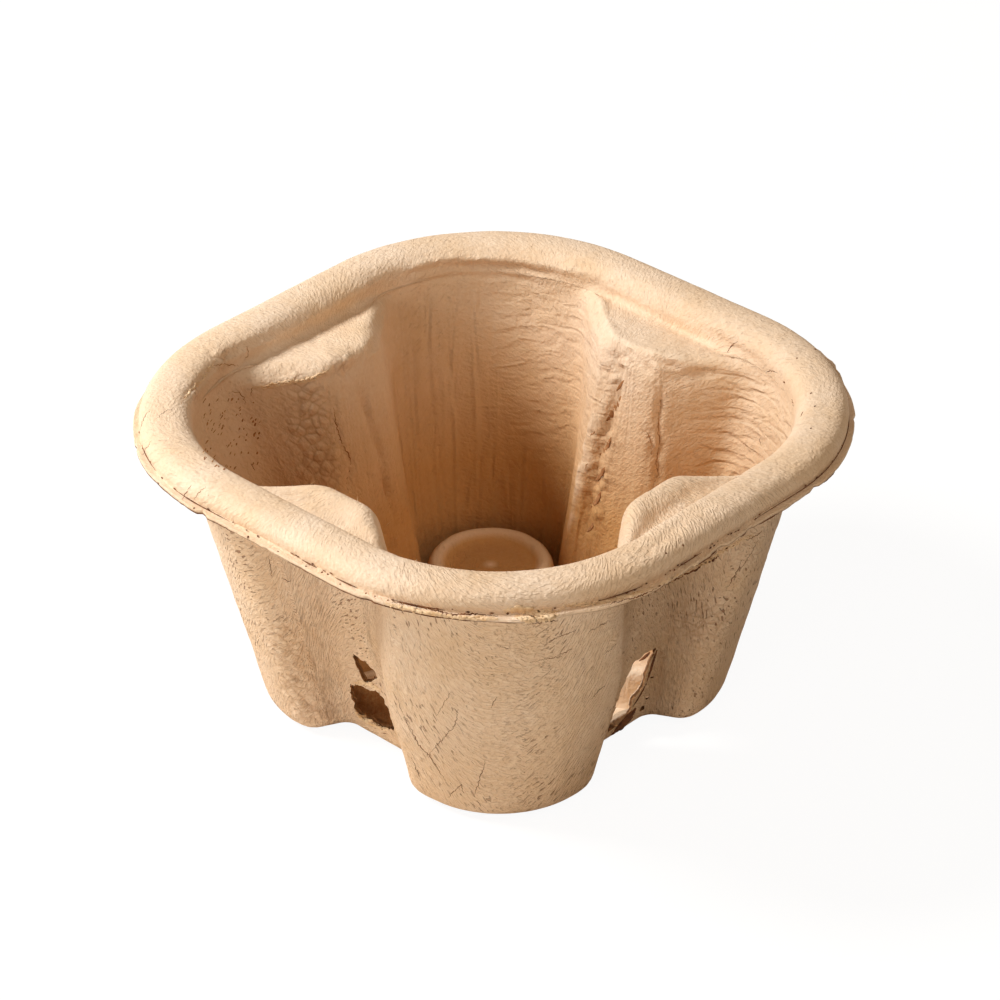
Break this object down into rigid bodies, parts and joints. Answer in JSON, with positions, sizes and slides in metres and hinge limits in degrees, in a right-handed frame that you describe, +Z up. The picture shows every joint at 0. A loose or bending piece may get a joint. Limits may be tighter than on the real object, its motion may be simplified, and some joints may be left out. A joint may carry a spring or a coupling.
{
  "type": "cup carrier",
  "caption": "Moulded pulp carrier for one drinks cup: a tapered square tub with four inward ribs, corner lobes, raised foot pads and a rolled rim, with torn openings low in two ribs.",
  "frame": {"origin": "middle of the underside, at the lower end of the bounding box", "axes": "+Z up through the mouth of the carrier; X and Y square to its flat sides; the torn openings are in the ribs at -Y and +X"},
  "size_m": [0.1342, 0.1342, 0.0723],
  "materials": {
    "pulp": "matt moulded fibre with fine pits and creases"
  },
  "bodies": {
    "root": {"carrier_shell": "pulp"}
  },
  "joints": []
}
